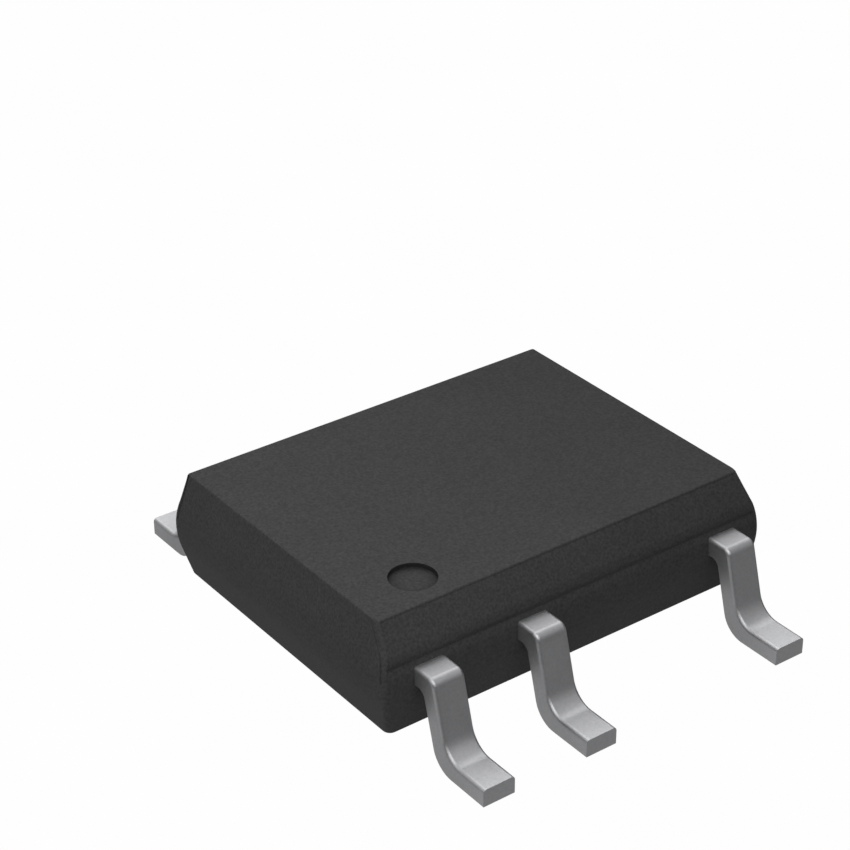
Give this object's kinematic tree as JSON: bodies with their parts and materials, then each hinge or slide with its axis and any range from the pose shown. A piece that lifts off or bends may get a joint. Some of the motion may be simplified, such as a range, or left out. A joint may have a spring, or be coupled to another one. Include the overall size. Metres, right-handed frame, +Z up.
{
  "type": "soic chip",
  "caption": "Small-outline integrated circuit for surface mounting: black moulded body with a corner dimple and a bevelled edge, on gull-wing leads with a gap in one row.",
  "frame": {"origin": "on the plane of the soles, under the middle of the body and of the lead span", "axes": "+Z up from the board, +X along the body from lead 1 towards lead 4, +Y across the body towards leads 5 to 8"},
  "size_m": [0.005, 0.006, 0.0015],
  "materials": {
    "mould_compound": "fine matte moulded epoxy",
    "tin_plated_lead": "satin tin plate on copper",
    "silicon": "polished silicon",
    "die_attach_paste": "cured silver-filled adhesive",
    "wire_copper": "bright drawn wire"
  },
  "bodies": {
    "root": {"mould_body": "mould_compound", "lead_1": "tin_plated_lead", "lead_2": "tin_plated_lead", "lead_4": "tin_plated_lead", "paddle_with_leads": "tin_plated_lead", "die": "silicon", "die_attach": "die_attach_paste", "bond_wire_lead_1": "wire_copper", "bond_wire_lead_2": "wire_copper", "bond_wire_lead_4_a": "wire_copper", "bond_wire_lead_4_b": "wire_copper", "bond_wire_paddle_a": "wire_copper", "bond_wire_paddle_b": "wire_copper"}
  },
  "joints": []
}
